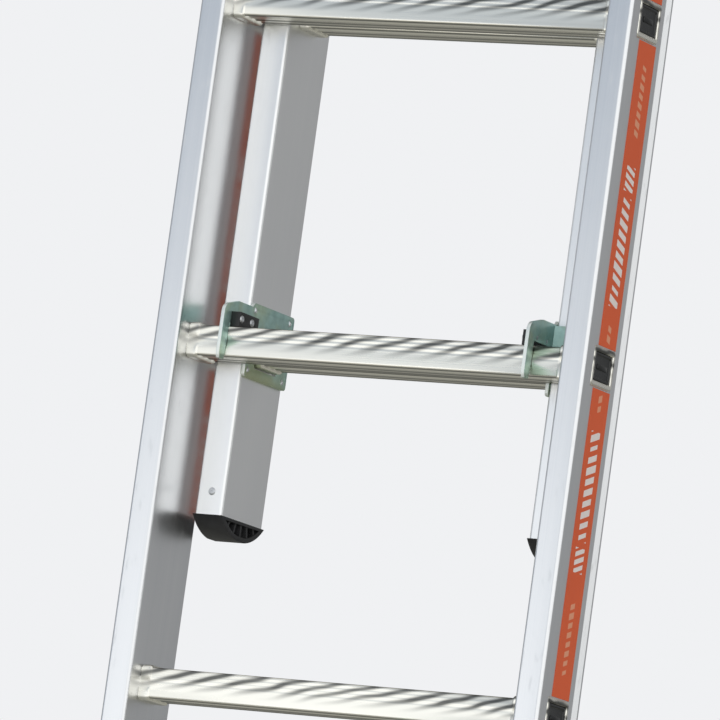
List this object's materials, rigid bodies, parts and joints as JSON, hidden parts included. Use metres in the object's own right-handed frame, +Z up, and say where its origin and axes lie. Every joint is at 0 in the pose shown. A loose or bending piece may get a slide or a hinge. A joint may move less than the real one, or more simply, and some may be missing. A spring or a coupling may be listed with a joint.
{
  "type": "attic ladder",
  "caption": "Aluminium sliding attic ladder: wide lower section in front, narrower upper section hung on a rung by steel hooks.",
  "frame": {"origin": "on the ground, under the middle of the ladder's outer box at rest", "axes": "+Z up along the stiles, +X to the right along the rungs as seen from the climber's side, +Y away from the climber to the rear"},
  "size_m": [0.392, 0.1274, 2.5405],
  "materials": {
    "stile_aluminium": "mill-finish extruded aluminium, fine lengthwise drawing lines",
    "rung_aluminium": "bright drawn aluminium, grooved tread",
    "rivet_aluminium": "dull pressed rivet heads",
    "hook_steel": "green-yellow zinc passivate on folded steel",
    "guide_steel": "green-yellow zinc passivate on folded steel",
    "seat_nylon": "black moulded nylon",
    "cap_plastic": "black moulded plastic",
    "shoe_rubber": "black rubber, satin",
    "label_film": "orange printed film with plain white marks"
  },
  "bodies": {
    "lower_section": {"guide_rivets": "rivet_aluminium", "left_guide_bracket": "guide_steel", "lower_foot_rivets": "rivet_aluminium", "lower_left_foot": "shoe_rubber", "lower_left_label": "label_film", "lower_left_rung_plugs": "cap_plastic", "lower_left_stile": "stile_aluminium", "lower_left_top_cap": "cap_plastic", "lower_right_foot": "shoe_rubber", "lower_right_label": "label_film", "lower_right_rung_plugs": "cap_plastic", "lower_right_stile": "stile_aluminium", "lower_right_top_cap": "cap_plastic", "lower_rung_1": "rung_aluminium", "lower_rung_2": "rung_aluminium", "lower_rung_3": "rung_aluminium", "lower_rung_4": "rung_aluminium", "lower_rung_5": "rung_aluminium", "lower_rung_6": "rung_aluminium", "lower_rung_7": "rung_aluminium", "right_guide_bracket": "guide_steel"},
    "upper_section": {"hook_rivets": "rivet_aluminium", "left_hook": "hook_steel", "left_hook_seat_block": "seat_nylon", "right_hook": "hook_steel", "right_hook_seat_block": "seat_nylon", "seat_block_rivets": "rivet_aluminium", "upper_foot_rivets": "rivet_aluminium", "upper_left_foot": "shoe_rubber", "upper_left_label": "label_film", "upper_left_rung_plugs": "cap_plastic", "upper_left_stile": "stile_aluminium", "upper_left_top_cap": "cap_plastic", "upper_right_foot": "shoe_rubber", "upper_right_label": "label_film", "upper_right_rung_plugs": "cap_plastic", "upper_right_stile": "stile_aluminium", "upper_right_top_cap": "cap_plastic", "upper_rung_1": "rung_aluminium", "upper_rung_2": "rung_aluminium", "upper_rung_3": "rung_aluminium", "upper_rung_4": "rung_aluminium", "upper_rung_5": "rung_aluminium", "upper_rung_6": "rung_aluminium", "upper_rung_7": "rung_aluminium"}
  },
  "joints": [
    {"name": "upper_section_slide", "type": "slide", "parent": "lower_section", "child": "upper_section", "axis": [0, 0, 1], "range_m": [-0.56, 0.56]}
  ]
}
